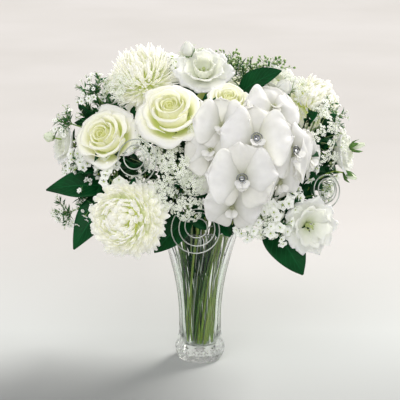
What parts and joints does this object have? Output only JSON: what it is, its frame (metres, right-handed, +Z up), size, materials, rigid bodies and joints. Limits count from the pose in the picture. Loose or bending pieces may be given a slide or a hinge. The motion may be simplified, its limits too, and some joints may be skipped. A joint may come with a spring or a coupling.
{
  "type": "floral table centrepiece",
  "caption": "Round white and cream flower arrangement in a tall fluted glass vase of water, with glossy leaves, filler sprays, wire scrolls and jewelled pins.",
  "frame": {"origin": "centre of the vase's foot, on the table", "axes": "+Z up along the vase; -Y towards the front of the arrangement; +X to its right as seen from the front"},
  "size_m": [0.4287, 0.3692, 0.4485],
  "materials": {
    "glass": "clear polished cut glass",
    "water": "clear water",
    "wire": "bright drawn wire",
    "jewel": "faceted, foil backed",
    "rose_petal": "velvety cream petal",
    "mum_petal": "matt ivory petal",
    "white_petal": "soft white petal",
    "filler_floret": "matt white florets on green rays",
    "stem": "smooth green stem",
    "leaf": "glossy leathery leaf"
  },
  "bodies": {
    "root": {"aster_low_left": "filler_floret", "aster_upper_left": "filler_floret", "buds_top": "filler_floret", "lace_back": "filler_floret", "lace_low_right": "filler_floret", "lace_middle": "filler_floret", "lace_right": "filler_floret", "lisianthus_back_right_bloom": "white_petal", "lisianthus_back_stem": "stem", "lisianthus_far_left_bloom": "white_petal", "lisianthus_far_right_bloom": "white_petal", "lisianthus_left_stem": "stem", "lisianthus_low_right_bloom": "white_petal", "lisianthus_right_stem": "stem", "lisianthus_top_middle_bloom": "white_petal", "lisianthus_top_right_bloom": "white_petal", "lisianthus_top_stem": "stem", "mum_back_bloom": "mum_petal", "mum_back_stem": "stem", "mum_low_left_bloom": "mum_petal", "mum_low_left_stem": "stem", "mum_right_bloom": "mum_petal", "mum_right_stem": "stem", "mum_top_left_bloom": "mum_petal", "mum_top_left_stem": "stem", "orchid_left_bloom": "white_petal", "orchid_low_bloom": "white_petal", "orchid_lower_bloom": "white_petal", "orchid_lower_jewel": "jewel", "orchid_right_bloom": "white_petal", "orchid_right_jewel": "jewel", "orchid_spray_stem": "stem", "orchid_top_bloom": "white_petal", "orchid_upper_bloom": "white_petal", "orchid_upper_jewel": "jewel", "rose_back_bloom": "rose_petal", "rose_back_stem": "stem", "rose_left_bloom": "rose_petal", "rose_left_stem": "stem", "rose_middle_bloom": "rose_petal", "rose_middle_stem": "stem", "rose_right_bloom": "rose_petal", "rose_right_stem": "stem", "salal_back_left": "leaf", "salal_back_right": "leaf", "salal_front": "leaf", "salal_left": "leaf", "salal_right": "leaf", "salal_top": "leaf", "scroll_left": "wire", "scroll_middle": "wire", "scroll_right": "wire", "vase": "glass", "water": "water"}
  },
  "joints": []
}
